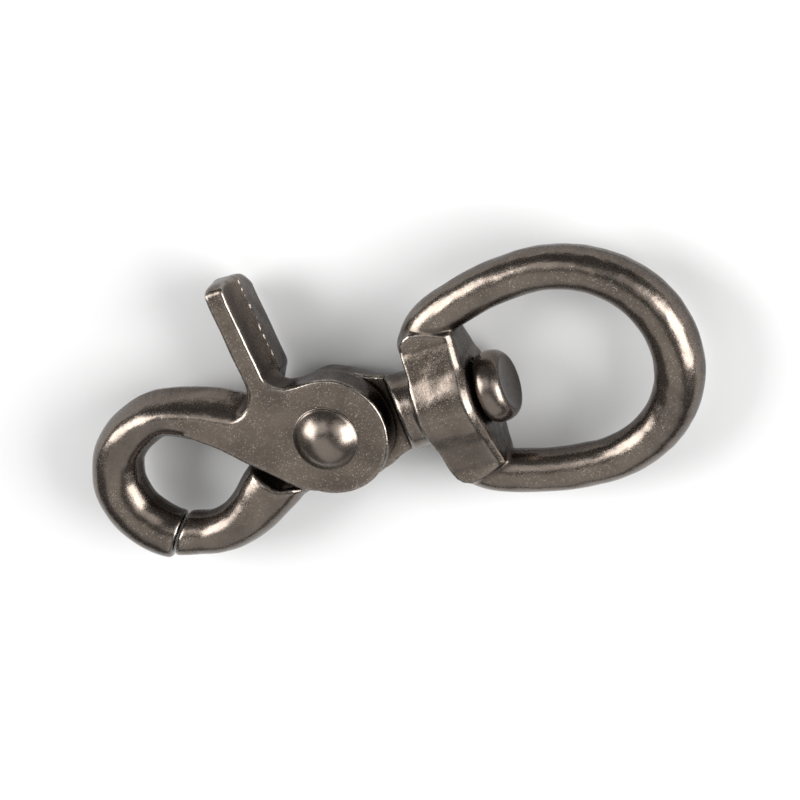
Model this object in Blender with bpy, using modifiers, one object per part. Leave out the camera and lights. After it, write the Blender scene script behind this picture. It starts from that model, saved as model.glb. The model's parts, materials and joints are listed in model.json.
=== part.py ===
"""Trigger snap hook with a swivelling D eye.

Two cast jaws are lapped at the pivot like scissors: the trigger jaw is the front
half of the lap and the fixed jaw is the rear half. A rivet joins them, and a
torsion spring in a pocket between them holds the hook shut. A headed pin in the
fixed jaw's neck carries the eye, which turns about the hook's length.

+X runs along the swivel axis to the eye, +Y to the thumb lever, +Z up along the
rivet. Sizes are in millimetres, and plan positions are counted from the rivet.
"""

import math

import bmesh
import bpy
from mathutils import Matrix, Vector

MM = 0.001
COLLECTION = "trigger_swivel_snap"

# The whole hook
HALF_THICK = 3.85           # half the thickness of both jaws together
LAP_GAP = 0.15              # each jaw stops this far short of the middle plane
TOUCH_GAP = 0.3             # clearance between pieces that meet
HOOK_END = 32.85            # from the rivet to the hook's far end
SWIVEL_Y = -0.5             # the swivel axis passes just beside the rivet
EDGE_ROUND = 0.5            # of the jaws' outer edges
OUTSIDE = 9.0               # cutters reach this far in front of and behind the middle plane

# Pivot
DISC_CENTRE = (0.4, 0.1)
DISC_RADIUS = 7.45
REAR_DISC_X = 1.0           # the rear disc is centred on the swivel axis
REAR_DISC_RADIUS = 7.2
REAR_CLEARANCE = 8.3        # round the rear disc, cut in the trigger jaw
FRONT_CLEARANCE = 10.0      # round the front disc, cut in the fixed jaw
SHOULDER_END = 8.3          # the shoulders narrow to the neck here
SHOULDER_TAPER = 0.53
SHOULDER_FAR = -20.0        # the tapering cone starts here, clear of the jaw
RIVET_SHANK = 1.9
RIVET_HEAD = 3.75
RIVET_DOME = 1.95
POCKET_RADIUS = 5.2
POCKET_DEPTH = 1.5          # measured from the middle plane
POCKET_SLOT = (6.3, 1.5)    # reach and width of the slot for a spring leg

# Spring
WIRE = 0.7
SPRING_RADIUS = 4.0
SPRING_TURNS = 2.75
SPRING_PITCH = 0.75
SPRING_LEG = 1.7            # how far a leg runs out from the coil
FIXED_LEG_ANGLE = 240.0     # where the legs lie round the rivet, in degrees
TRIGGER_LEG_ANGLE = 150.0

# Thumb lever
LEVER_TOP = 21.7
LEVER_HOOK_SIDE = -7.8
LEVER_THUMB_SIDE = -4.1
LEVER_ROUND = 1.8           # of the lever's end, seen from the front
LEVER_CROWN = 2.3           # of the lever's end, seen from the thumb's side

# Bars of the two jaws: (x, y, half width) along each centre line
HOOK_BAR = (
    (-8.6, 3.9, 2.8), (-12.3, 4.9, 3.4), (-15.7, 6.4, 3.2), (-20.5, 7.7, 2.85),
    (-24.5, 6.75, 3.0), (-27.6, 4.6, 3.1), (-29.15, 1.6, 3.25), (-29.45, -1.05, 3.4),
    (-28.6, -4.05, 3.35), (-26.5, -6.75, 3.3), (-24.3, -8.1, 3.1), (-21.5, -8.9, 2.9),
)
ARM_BAR = (
    (-26.6, -7.4, 2.8), (-24.7, -7.8, 2.8), (-22.4, -8.4, 2.75), (-19.7, -8.9, 2.75),
    (-16.6, -8.5, 2.9), (-13.7, -7.2, 3.3), (-10.6, -5.1, 3.7), (-8.0, -3.4, 3.4),
)
JAW_JOINT = (-24.2, -7.7)   # where the closed tips meet
JAW_JOINT_ANGLE = 60.0      # degrees from +X, along the joint

# Neck, pin and eye, along X from the rivet
NECK_RADIUS = 4.8
NECK_START = 7.0
NECK_CHAMFER = 0.4
PIN_SHANK = 2.7
PIN_START = 9.6
HEAD_LENGTH = 3.3
HEAD_RADIUS = 4.3
HEAD_FACE_RADIUS = 3.7
COLLAR_START = 12.9
COLLAR_END = 19.9
COLLAR_HALF_THICK = 3.2
COLLAR_ROUND = 0.9
BOSS_RADIUS = 6.1
BOSS_CHAMFER = 0.6
EYE_SIDE = 13.15            # swivel axis to the middle of a side bar
EYE_WIDEST_X = 30.2
EYE_BOW_X = 44.85
EYE_SIDE_RADIUS = 2.68
EYE_BOW_RADIUS = 2.98
EYE_ROOT = (16.0, 8.0)
EYE_ROOT_RADIUS = 2.7
EYE_TURN = 3.5              # degrees about the swivel axis, as the loose eye lies

NECK_END = COLLAR_START - TOUCH_GAP
HEAD_START = COLLAR_END + TOUCH_GAP
HEAD_END = HEAD_START + HEAD_LENGTH
EYE_END = EYE_BOW_X + EYE_BOW_RADIUS
EYE_HALF_WIDTH = EYE_SIDE * math.cos(math.radians(EYE_TURN)) + EYE_SIDE_RADIUS

# The rivet's place, which puts the origin under the middle of the hook's box
RIVET = Vector((
    (HOOK_END - EYE_END) / 2,
    (EYE_HALF_WIDTH - SWIVEL_Y - LEVER_TOP) / 2,
    BOSS_RADIUS,
)) * MM


def clear_scene():
    for obj in list(bpy.data.objects):
        bpy.data.objects.remove(obj, do_unlink=True)


def new_collection(name):
    collection = bpy.data.collections.new(name)
    bpy.context.scene.collection.children.link(collection)
    return collection


def material(name, colour, roughness):
    mat = bpy.data.materials.new(name)
    mat.use_nodes = True
    shader = mat.node_tree.nodes["Principled BSDF"]
    shader.inputs["Base Color"].default_value = (*colour, 1.0)
    shader.inputs["Metallic"].default_value = 1.0
    shader.inputs["Roughness"].default_value = roughness
    return mat


def arc(centre, radius, start, end, count):
    """Points on an arc, angles in degrees."""
    points = []
    for i in range(count):
        angle = math.radians(start + (end - start) * i / (count - 1))
        points.append((centre[0] + radius * math.cos(angle), centre[1] + radius * math.sin(angle)))
    return points


def smooth_path(knots, steps):
    """A Catmull-Rom curve through the knots, each a tuple of any length."""
    rows = [Vector(knot) for knot in knots]
    rows = [2 * rows[0] - rows[1]] + rows + [2 * rows[-1] - rows[-2]]
    path = []
    for a, b, c, d in zip(rows, rows[1:], rows[2:], rows[3:]):
        for i in range(steps):
            t = i / steps
            path.append(0.5 * (2 * b + (c - a) * t + (2 * a - 5 * b + 4 * c - d) * t * t
                               + (3 * b - a - 3 * c + d) * t ** 3))
    path.append(rows[-2])
    return path


def mesh_object(name, mesh, collection):
    obj = bpy.data.objects.new(name, mesh)
    collection.objects.link(obj)
    return obj


def as_tool(obj):
    """Mark a solid as one that only shapes others."""
    obj.hide_render = True
    obj.display_type = "WIRE"
    return obj


def curve_to_mesh(name, curve, collection, lift=0.0):
    """Turn a curve into a closed mesh object and drop the curve."""
    source = bpy.data.objects.new(name + "_curve", curve)
    collection.objects.link(source)
    source.location.z = lift * MM
    bpy.context.view_layer.update()
    evaluated = source.evaluated_get(bpy.context.evaluated_depsgraph_get())
    mesh = bpy.data.meshes.new_from_object(evaluated)
    mesh.transform(source.matrix_world)
    bm = bmesh.new()
    bm.from_mesh(mesh)
    bmesh.ops.remove_doubles(bm, verts=bm.verts, dist=1e-6)
    bmesh.ops.recalc_face_normals(bm, faces=bm.faces)
    bm.to_mesh(mesh)
    bm.free()
    bpy.data.objects.remove(source, do_unlink=True)
    mesh.materials.clear()
    return mesh_object(name, mesh, collection)


def plate(name, outline, bottom, top, collection):
    """A flat outline in the plan, extruded between two heights."""
    curve = bpy.data.curves.new(name, "CURVE")
    curve.dimensions = "2D"
    curve.fill_mode = "BOTH"
    curve.extrude = (top - bottom) / 2 * MM
    spline = curve.splines.new("POLY")
    spline.points.add(len(outline) - 1)
    for point, (x, y) in zip(spline.points, outline):
        point.co = (x * MM, y * MM, 0.0, 1.0)
    spline.use_cyclic_u = True
    return curve_to_mesh(name, curve, collection, (top + bottom) / 2)


def bar(name, path, collection, resolution=4):
    """A round bar along (x, y, z, radius) points."""
    curve = bpy.data.curves.new(name, "CURVE")
    curve.dimensions = "3D"
    curve.bevel_depth = MM
    curve.bevel_resolution = resolution
    curve.use_fill_caps = True
    spline = curve.splines.new("POLY")
    spline.points.add(len(path) - 1)
    for point, (x, y, z, radius) in zip(spline.points, path):
        point.co = (x * MM, y * MM, z * MM, 1.0)
        point.radius = radius
    return curve_to_mesh(name, curve, collection)


def turned(name, profile, axis, collection, sides=32):
    """A turned solid: (radius, along) pairs run down its outer side, top to bottom."""
    mesh = bpy.data.meshes.new(name)
    points = [(radius * MM, 0.0, along * MM) for radius, along in profile]
    mesh.from_pydata(points, [(i, i + 1) for i in range(len(points) - 1)], [])
    obj = mesh_object(name, mesh, collection)
    screw = obj.modifiers.new("turn", "SCREW")
    screw.steps = sides
    screw.render_steps = sides
    screw.use_merge_vertices = True
    screw.merge_threshold = 1e-6
    if axis == "X":
        obj.rotation_euler = (0.0, math.radians(90), 0.0)
    return obj


def bevel(obj, width, segments=2):
    mod = obj.modifiers.new("round_edges", "BEVEL")
    mod.width = width * MM
    mod.segments = segments
    mod.limit_method = "ANGLE"
    mod.angle_limit = math.radians(40)
    return obj


def combine(target, tool, operation):
    mod = target.modifiers.new(tool.name, "BOOLEAN")
    mod.operation = operation
    mod.solver = "EXACT"
    mod.object = as_tool(tool)


def joint_frame(offset):
    """A point beside the jaws' joint, and the joint's direction and outward normal."""
    angle = math.radians(JAW_JOINT_ANGLE)
    along = Vector((math.cos(angle), math.sin(angle)))
    normal = Vector((-along.y, along.x))
    return Vector(JAW_JOINT) + normal * offset, along, normal


def joint_cutter(name, side, offset, collection):
    """A block that takes away everything on one side of the jaws' joint."""
    start, along, normal = joint_frame(offset)
    far = normal * side * OUTSIDE
    outline = [start - along * 8, start + along * 6, start + along * 6 + far, start - along * 8 + far]
    if side < 0:
        outline.reverse()
    return plate(name, [tuple(p) for p in outline], -HALF_THICK - 1, HALF_THICK + 1, collection)


def spring_pocket(name, slot_angle, bottom, top, collection):
    """A round pocket for the spring, with a radial slot for one of its legs."""
    reach, width = POCKET_SLOT
    mouth = math.degrees(math.asin(width / 2 / POCKET_RADIUS))
    outline = arc((0, 0), POCKET_RADIUS, mouth, 360 - mouth, 30)
    outline += [(reach, -width / 2), (reach, width / 2)]
    pocket = plate(name, outline, bottom, top, collection)
    pocket.data.transform(Matrix.Rotation(math.radians(slot_angle), 4, "Z"))
    return pocket


def rivet_hole(name, collection):
    return plate(name, arc((0, 0), RIVET_SHANK + TOUCH_GAP, 7, 352, 24),
                 -OUTSIDE, OUTSIDE, collection)


def place(obj, position=(0.0, 0.0, 0.0)):
    """Move a piece, and the tools in its modifiers, to their place from the rivet."""
    obj.location += RIVET + Vector(position) * MM
    for mod in obj.modifiers:
        if mod.type == "BOOLEAN":
            place(mod.object, position)


def finish(obj, mat):
    obj.data.materials.clear()
    obj.data.materials.append(mat)
    obj.data.shade_smooth()
    obj.data.set_sharp_from_angle(angle=math.radians(35))


def trigger_outline():
    """Plan of the trigger jaw's flat part: disc, lever and the web to the hook bar."""
    disc = arc(DISC_CENTRE, DISC_RADIUS, -135, 78, 26)
    root = [(-1.0, 7.6), (-2.4, 7.75), (-3.2, 8.1), (-3.6, 8.8), (-3.8, 10.0)]
    end_y = LEVER_TOP - LEVER_ROUND
    thumb_corner = arc((LEVER_THUMB_SIDE - LEVER_ROUND, end_y), LEVER_ROUND, 0, 90, 6)
    hook_corner = arc((LEVER_HOOK_SIDE + LEVER_ROUND, end_y), LEVER_ROUND, 90, 180, 6)
    ledge = [(-7.3, 9.0), (-8.2, 7.4), (-9.6, 6.0), (-11.6, 5.5), (-15.0, 6.6), (-17.6, 7.1)]
    inner = [(-17.0, 5.2), (-15.0, 3.9), (-13.0, 2.0), (-11.0, 0.0)]
    return disc + root + thumb_corner + hook_corner + ledge + inner


def lever_crown(tools):
    """Slab wider than the jaw whose +Y end is rounded front to back, drawn on its side."""
    half = HALF_THICK + 0.02
    end_y = LEVER_TOP - LEVER_CROWN
    below_y = -12.0
    left, right = -12.0, 25.0
    outline = [(-half - 1, below_y), (half + 1, below_y), (half + 1, end_y - 0.2)]
    outline += arc((half - LEVER_CROWN, end_y), LEVER_CROWN, 0, 90, 7)
    outline += arc((LEVER_CROWN - half, end_y), LEVER_CROWN, 90, 180, 7)
    outline.append((-half - 1, end_y - 0.2))
    crown = plate("lever_crown", outline, left, right, tools)
    crown.data.transform(Matrix.Rotation(math.radians(-90), 4, "Y"))
    return crown


def make_trigger_jaw(parts, tools):
    jaw = plate("trigger_jaw", trigger_outline(), -HALF_THICK, HALF_THICK, parts)
    bevel(jaw, EDGE_ROUND)
    combine(jaw, lever_crown(tools), "INTERSECT")
    hook = bar("hook_bar", [(x, y, 0.0, r) for x, y, r in smooth_path(HOOK_BAR, 3)], tools)
    combine(hook, joint_cutter("hook_tip_cut", -1, TOUCH_GAP / 2, tools), "DIFFERENCE")
    combine(jaw, hook, "UNION")
    combine(jaw, rear_clearance(tools), "DIFFERENCE")
    combine(jaw, rivet_hole("trigger_rivet_hole", tools), "DIFFERENCE")
    combine(jaw, spring_pocket("trigger_pocket", TRIGGER_LEG_ANGLE, -1, POCKET_DEPTH, tools), "DIFFERENCE")
    place(jaw)
    return jaw


def rear_clearance(tools):
    """Space behind the trigger jaw for the fixed jaw's disc and the root of its arm."""
    outline = arc((0, 0), REAR_CLEARANCE, -110, 90, 24) + [(-2.4, 9.5), (-3.75, 8.6)]
    outline += arc((0, 0), REAR_CLEARANCE, 117, 172, 9) + [(-14.6, -1.3), (-14.6, -9.0)]
    return plate("rear_clearance", outline, -OUTSIDE, LAP_GAP, tools)


def fixed_outline():
    """Plan of the fixed jaw: rear disc, shoulders to the neck and the root of the arm."""
    centre = (REAR_DISC_X, SWIVEL_Y)
    shoulder = [(SHOULDER_END, NECK_RADIUS), (6.9, 5.5), (5.3, 6.3)]
    upper = [(x, SWIVEL_Y + y) for x, y in shoulder]
    disc = arc(centre, REAR_DISC_RADIUS, 64, 172, 18)
    root = [(-9.4, -0.5), (-12.2, -1.9), (-13.0, -4.0), (-10.0, -7.4), (-6.0, -7.2)]
    disc_below = arc(centre, REAR_DISC_RADIUS, -110, -64, 8)
    lower = [(x, SWIVEL_Y - y) for x, y in reversed(shoulder)]
    return upper + disc + root + disc_below + lower


def shoulder_envelope(tools):
    """Cone about the swivel axis that rounds the shoulders down to the neck."""
    far_radius = NECK_RADIUS + (SHOULDER_END - SHOULDER_FAR) * SHOULDER_TAPER
    cone = turned("shoulder_envelope", [(0.0, SHOULDER_END), (NECK_RADIUS, SHOULDER_END),
                                        (far_radius, SHOULDER_FAR), (0.0, SHOULDER_FAR)], "X", tools, 48)
    cone.location.y = SWIVEL_Y * MM
    return cone


def front_clearance(tools):
    """Space in front of the fixed jaw for the trigger jaw's disc."""
    outline = arc((0, SWIVEL_Y), FRONT_CLEARANCE, -62, 62, 16)
    outline += [(0.0, 12.0), (-14.0, 12.0), (-14.0, 0.4), (-11.7, -1.6), (-9.8, -4.1), (-7.0, -5.6)]
    outline += [(-5.4, -9.5), (0.0, -10.0)]
    return plate("front_clearance", outline, -LAP_GAP, OUTSIDE, tools)


def make_fixed_jaw(parts, tools):
    jaw = plate("fixed_jaw", fixed_outline(), -HALF_THICK, HALF_THICK, parts)
    bevel(jaw, EDGE_ROUND)
    combine(jaw, shoulder_envelope(tools), "INTERSECT")
    arm = bar("arm_bar", [(x, y, 0.0, r) for x, y, r in smooth_path(ARM_BAR, 3)], tools)
    combine(arm, joint_cutter("arm_tip_cut", 1, -TOUCH_GAP / 2, tools), "DIFFERENCE")
    combine(jaw, arm, "UNION")
    neck = turned("neck", [(0.0, NECK_END), (NECK_RADIUS - NECK_CHAMFER, NECK_END),
                           (NECK_RADIUS, NECK_END - NECK_CHAMFER), (NECK_RADIUS, NECK_START),
                           (0.0, NECK_START)], "X", tools)
    neck.location.y = SWIVEL_Y * MM
    combine(jaw, neck, "UNION")
    combine(jaw, front_clearance(tools), "DIFFERENCE")
    combine(jaw, rivet_hole("fixed_rivet_hole", tools), "DIFFERENCE")
    combine(jaw, spring_pocket("fixed_pocket", FIXED_LEG_ANGLE, -POCKET_DEPTH, 1, tools), "DIFFERENCE")
    bore = turned("neck_bore", [(0.0, NECK_END + 1), (PIN_SHANK + TOUCH_GAP, NECK_END + 1),
                                (PIN_SHANK + TOUCH_GAP, PIN_START - TOUCH_GAP),
                                (0.0, PIN_START - TOUCH_GAP)], "X", tools, 24)
    bore.location.y = SWIVEL_Y * MM
    combine(jaw, bore, "DIFFERENCE")
    place(jaw)
    return jaw


def make_pivot_rivet(parts):
    """Shank with a domed head at each end."""
    base = HALF_THICK + TOUCH_GAP
    sphere = (RIVET_HEAD ** 2 + RIVET_DOME ** 2) / (2 * RIVET_DOME)
    rim_angle = math.asin(RIVET_HEAD / sphere)
    dome = []
    for i in range(8):
        angle = rim_angle * i / 7
        dome.append((sphere * math.sin(angle), base + RIVET_DOME - sphere * (1 - math.cos(angle))))
    half = dome + [(RIVET_SHANK, base)]
    rivet = turned("pivot_rivet", half + [(r, -z) for r, z in reversed(half)], "Z", parts)
    place(rivet)
    return rivet


def make_torsion_spring(parts):
    """Coil round the rivet, with a leg into each jaw's slot."""
    steps = 16
    count = int(SPRING_TURNS * steps)
    start = math.radians(FIXED_LEG_ANGLE)
    rise = SPRING_PITCH * SPRING_TURNS
    coil = []
    for i in range(count + 1):
        angle = start + 2 * math.pi * i / steps
        height = -rise / 2 + rise * i / count
        coil.append((SPRING_RADIUS * math.cos(angle), SPRING_RADIUS * math.sin(angle), height))
    legs = []
    for x, y, z in (coil[0], coil[-1]):
        stretch = 1 + SPRING_LEG / SPRING_RADIUS
        legs.append((x * stretch, y * stretch, z))
    path = [legs[0]] + coil + [legs[1]]
    spring = bar("torsion_spring", [(x, y, z, WIRE / 2) for x, y, z in path], parts, 2)
    place(spring)
    return spring


def make_swivel_pin(parts):
    """Headed pin: its shank runs in the collar and is pressed into the neck."""
    half = (HEAD_START + HEAD_END) / 2
    profile = [(0.0, HEAD_END), (HEAD_FACE_RADIUS, HEAD_END - 0.05), (HEAD_RADIUS - 0.35, HEAD_END - 0.45),
               (HEAD_RADIUS, half + 0.5), (HEAD_RADIUS, half - 0.3), (HEAD_RADIUS - 0.4, HEAD_START + 0.2),
               (HEAD_RADIUS - 0.8, HEAD_START), (PIN_SHANK, HEAD_START), (PIN_SHANK, PIN_START),
               (0.0, PIN_START)]
    pin = turned("swivel_pin", profile, "X", parts)
    place(pin, (0.0, SWIVEL_Y, 0.0))
    return pin


def eye_path():
    """Centre line of the eye's bar, from one root round the bow to the other."""
    side = [(*EYE_ROOT, EYE_ROOT_RADIUS), (17.5, 9.9, EYE_SIDE_RADIUS), (20.4, 11.15, EYE_SIDE_RADIUS),
            (24.9, 12.35, EYE_SIDE_RADIUS), (EYE_WIDEST_X, EYE_SIDE, EYE_SIDE_RADIUS)]
    half = [tuple(row) for row in smooth_path(side, 3)]
    for i in range(1, 12):
        angle = math.radians(90 * i / 12)
        radius = EYE_SIDE_RADIUS + (EYE_BOW_RADIUS - EYE_SIDE_RADIUS) * math.sin(angle) ** 2
        half.append((EYE_WIDEST_X + (EYE_BOW_X - EYE_WIDEST_X) * math.sin(angle),
                     EYE_SIDE * math.cos(angle), radius))
    bow = [(EYE_BOW_X, 0.0, EYE_BOW_RADIUS)]
    return half + bow + [(x, -y, r) for x, y, r in reversed(half)]


def make_swivel_eye(parts, tools):
    eye = bar("swivel_eye", [(x, y, 0.0, r) for x, y, r in eye_path()], parts, 5)
    wing = [(COLLAR_END, 7.0), (COLLAR_END - 1.2, 10.8), (15.6, 11.6), (14.2, 11.0), (13.2, 9.9),
            (COLLAR_START - 0.2, 8.4)]
    outline = wing + [(x, -y) for x, y in reversed(wing)]
    collar = plate("collar", outline, -COLLAR_HALF_THICK, COLLAR_HALF_THICK, tools)
    bevel(collar, COLLAR_ROUND, 3)
    collar.rotation_euler.x = math.radians(EYE_TURN)
    eye.rotation_euler.x = math.radians(EYE_TURN)
    combine(eye, collar, "UNION")
    boss_end = BOSS_RADIUS - BOSS_CHAMFER
    boss = turned("boss", [(0.0, COLLAR_END), (boss_end, COLLAR_END),
                           (BOSS_RADIUS, COLLAR_END - BOSS_CHAMFER),
                           (BOSS_RADIUS, COLLAR_START + BOSS_CHAMFER), (boss_end, COLLAR_START),
                           (0.0, COLLAR_START)], "X", tools, 40)
    combine(eye, boss, "UNION")
    radius = PIN_SHANK + TOUCH_GAP
    bore = turned("eye_bore", [(0.0, COLLAR_END + 1), (radius, COLLAR_END + 1),
                               (radius, COLLAR_START - 1), (0.0, COLLAR_START - 1)], "X", tools, 24)
    combine(eye, bore, "DIFFERENCE")
    place(eye, (0.0, SWIVEL_Y, 0.0))
    return eye


def main():
    clear_scene()
    parts = new_collection(COLLECTION)
    tools = new_collection("cutters")
    cast = material("cast_nickel", (0.16, 0.14, 0.125), 0.34)
    polished = material("polished_nickel", (0.22, 0.20, 0.18), 0.22)
    steel = material("spring_steel", (0.30, 0.29, 0.28), 0.30)
    finish(make_fixed_jaw(parts, tools), cast)
    finish(make_trigger_jaw(parts, tools), cast)
    finish(make_pivot_rivet(parts), polished)
    finish(make_torsion_spring(parts), steel)
    finish(make_swivel_pin(parts), polished)
    finish(make_swivel_eye(parts, tools), cast)


main()
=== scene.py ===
"""Looks for the trigger swivel snap hook: castings, rivet, pin, spring, materials and studio.

The castings are made as solids of distance: each one is a function that says how far
a point is from its surface, built from plan outlines, round bars and turned shapes
that run into each other with fillets. A surface net turns each function into a mesh.

Shapes are in millimetres from the rivet's middle, in the frame's directions: +X along
the swivel axis to the eye, +Y to the thumb lever, +Z along the rivet.
"""

import itertools
import json
import math

import bpy
import numpy as np
from mathutils import Matrix, Vector


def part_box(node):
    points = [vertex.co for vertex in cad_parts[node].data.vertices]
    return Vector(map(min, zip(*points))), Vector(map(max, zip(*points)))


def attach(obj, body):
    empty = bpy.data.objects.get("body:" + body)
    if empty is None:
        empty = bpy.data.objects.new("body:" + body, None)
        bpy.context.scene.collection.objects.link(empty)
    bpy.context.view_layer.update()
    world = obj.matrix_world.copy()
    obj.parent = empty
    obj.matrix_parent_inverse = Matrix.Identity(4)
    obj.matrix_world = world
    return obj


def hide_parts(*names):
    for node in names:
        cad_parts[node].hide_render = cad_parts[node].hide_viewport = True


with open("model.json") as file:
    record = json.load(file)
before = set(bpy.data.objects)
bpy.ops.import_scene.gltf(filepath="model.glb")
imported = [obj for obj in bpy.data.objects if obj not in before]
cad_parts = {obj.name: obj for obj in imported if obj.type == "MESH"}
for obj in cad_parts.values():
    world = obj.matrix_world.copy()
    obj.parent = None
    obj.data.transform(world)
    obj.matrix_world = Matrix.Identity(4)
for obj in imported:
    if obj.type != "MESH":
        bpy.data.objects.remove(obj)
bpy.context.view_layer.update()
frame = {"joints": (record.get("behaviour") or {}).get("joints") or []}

MM = 0.001
JOINTS = {joint["name"]: joint for joint in frame["joints"]}
RIVET = np.array(JOINTS["trigger_pivot"]["pos_m"])
SWIVEL_Y = (JOINTS["eye_swivel"]["pos_m"][1] - RIVET[1]) / MM
NET_STEP = 0.2      # spacing of the surface net
MARGIN = 0.8                                # clear space round each net
SETTLE_STEP = 0.02                          # probe for the slope that points settle along
SETTLE_DAMPING = 0.05
WAVE_HEIGHT = 0.02                          # of the castings' slow ripples

# Sizes shared by both jaws
HALF_THICK = 3.85
LAP_GAP = 0.15
TOUCH_GAP = 0.3
EDGE_ROUND = 0.45
DISC_CENTRE = (0.4, 0.1)
DISC_RADIUS = 7.5
REAR_DISC_CENTRE = (1.0, SWIVEL_Y)
REAR_DISC_RADIUS = 7.2
REAR_CLEARANCE = 8.4
JAW_JOINT = (-24.1, -7.7)           # where the closed tips meet
JAW_JOINT_ANGLE = math.radians(53)

# Rivet, and the spring with its room
RIVET_SHANK = 1.9
RIVET_SEAT = 0.04                   # gap under the rivet's heads
RIVET_RIM = 3.95
RIVET_DOME = 2.0
POCKET_RADIUS = 5.2
POCKET_DEPTH = 1.5
FIXED_LEG_ANGLE = 240               # of the spring's legs round the rivet, in degrees
TRIGGER_LEG_ANGLE = 150
LEG_SWEEP = 34                      # room in the fixed jaw, as the leg turns with the trigger
LEG_SLOT_HALF = 0.75
LEG_SLOT_END = 6.3
WIRE_RADIUS = 0.35
SPRING_RADIUS = 4.0
SPRING_TURNS = 2.75
SPRING_PITCH = 0.75
SPRING_LEG = 1.7                    # how far a leg runs out from the coil
SPRING_STEPS = 32                   # points in each turn

# Bars: (x, y, half width, half thickness, squareness of the section, draft of its sides)
HOOK_BAR = (
    (-8.6, 3.4, 2.8, 3.6, 3.0, 0.25), (-12.3, 4.7, 3.7, 3.97, 2.35, 0.36),
    (-15.7, 6.2, 3.55, 3.99, 2.3, 0.30), (-20.5, 7.7, 3.0, 3.8, 2.3, 0.24),
    (-24.5, 6.75, 3.0, 3.6, 2.4, 0.14), (-27.6, 4.6, 3.1, 3.4, 2.3, 0.05),
    (-29.15, 1.6, 3.25, 3.35, 2.1, 0.0), (-29.45, -1.05, 3.4, 3.4, 2.0, 0.0),
    (-28.6, -4.05, 3.35, 3.35, 2.0, 0.0), (-26.5, -6.75, 3.3, 3.2, 2.0, 0.0),
    (-24.3, -8.1, 3.1, 3.0, 2.0, 0.0), (-21.5, -8.9, 2.9, 2.9, 2.0, 0.0),
)
ARM_BAR = (
    (-28.0, -6.6, 2.8, 2.8, 2.0, 0.0), (-24.7, -7.8, 2.8, 2.9, 2.0, 0.0),
    (-22.4, -8.4, 2.75, 2.9, 2.0, 0.0), (-19.7, -8.9, 2.75, 3.0, 2.0, 0.0),
    (-16.6, -8.5, 2.95, 3.2, 2.1, 0.0), (-13.7, -7.2, 3.3, 3.4, 2.2, 0.0),
    (-10.6, -5.1, 3.7, 3.5, 2.3, 0.0), (-7.5, -3.2, 3.7, 3.5, 2.4, 0.0),
)

# Lever
LEVER_TOP = 22.05
LEVER_TILT = 0.12                   # of its end, higher in front
LEVER_MIDDLE = -6.05
LEVER_HALF = 2.15                   # half its width at the end
LEVER_ROUND = 1.55                  # of the lever's end, across it
LEVER_CROWN_FRONT = 2.2             # and through it, in front of the middle plane and behind
LEVER_CROWN_REAR = 3.8
LEVER_END_DEPTH = 6                 # how far down the end shapes the lever
CROWN_FADE = 1.2                    # how far the end's own sides stand off the lever below it
CROWN_FADE_SPAN = (1.5, 5.0)        # reached between these depths under the top
THUMB_DRAFT = 0.3                   # slope of the thumb face in front of the parting line
THUMB_HOLLOW = 0.25
REAR_DRAFT = 0.06                   # and its slope behind
THUMB_RISE = (6.8, 9.6)             # the slope comes in between these heights
THUMB_SIDE = (-6.2, -5.4)           # and between these places across the lever
LEDGE_MIDDLE = (-9.4, 7.0)          # the ledge is where the lever's root turns on to the hook
LEDGE_ROUND = 0.5                   # how much rounder its edge is
LEDGE_NEAR = 2.4                    # within this distance of its middle
LEDGE_FAR = 4.2                     # with plain edges again from here

# Neck and pin, along X from the rivet
COLLAR_START = 12.9
COLLAR_END = 19.9
SHOULDER_X = 8.45                   # foot of the wall where the neck rises beside the front disc
SHOULDER_DRAFT = 0.41               # lean of the wall away from the disc, for each step forward
TAPER_X = 8.3                       # the fixed jaw has tapered to the neck's radius here
TAPER_PAST = 2                      # and goes on narrowing this far, inside the neck
TAPER_SLOPE = 0.53
NECK_RADIUS = 4.8
NECK_START = 6
NECK_END = COLLAR_START - TOUCH_GAP
PIN_SHANK = 2.7
PIN_START = 9.6

# Eye: a collar with a round boss between two webs that end in wings, and the bow
BOSS_RADIUS = 6.05
FACET_HEIGHT = 3.0                  # of the wings' flat ends
WING_STEP = 8.0                     # where the webs beside the boss step down to them
WEB_STEP = 0.2                      # height of that step
WEB_SLOPE = 0.34                    # rise of the webs from it towards the boss
FOOT_SLOPE = 0.55                   # of the step's own face
FOOT_REACH = 0.3                    # how far the step's foot lies out on the wing
COLLAR_CHAMFER = 0.8                # along the collar's edge on the eye's side
EYE_SIDE = 13.05
EYE_WIDEST_X = 30.3
EYE_BOW_X = 44.68
EYE_BOW_SHAPE = 2.06                # exponent of the bow's oval: 2 is an ellipse
EYE_SIDE_RADIUS = 2.68
EYE_BOW_RADIUS = 3.12
EYE_TURN = math.radians(3.5)

# A value made from a slope grows faster than the distance to the sloping face.
# These factors bring it back near to that distance, so that the blends keep their widths.
TAPER_FACTOR = 0.88
SHOULDER_FACTOR = 0.925
WEB_FACTOR = 0.95
FOOT_FACTOR = 0.88
CHAMFER_FACTOR = 0.71

# How the masks for worn edges with painted sheen, painted shade in recesses and flat ends are read off the
# shapes
END_SLOPE = 0.9                     # a turned profile steeper than this starts to count as an end
END_FADE = 0.08
SLOPE_STEP = 0.05
WEAR_AND_SHEEN_REACH = 0.35
WEAR_AND_SHEEN_GAIN = 0.9
RECESS_REACH = 0.9
RECESS_GAIN = 0.8

# Studio
CAMERA_SIDE = (0.365, 0.28, 0.888)  # from the hook towards the camera
CAMERA_UP = (0.2504, 0.889, -0.3835)
CAMERA_AIM = (9.35, 1.02, 0.0)      # point looked at, in millimetres from the rivet
CAMERA_DISTANCE = 0.6
CAMERA_LENS = 223.56
LIGHT_DISTANCE = 0.6
ROOM_LIGHT = 0.16
FLOOR_HALF = 3.0
FLOOR_DROP = 0.0001


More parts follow.
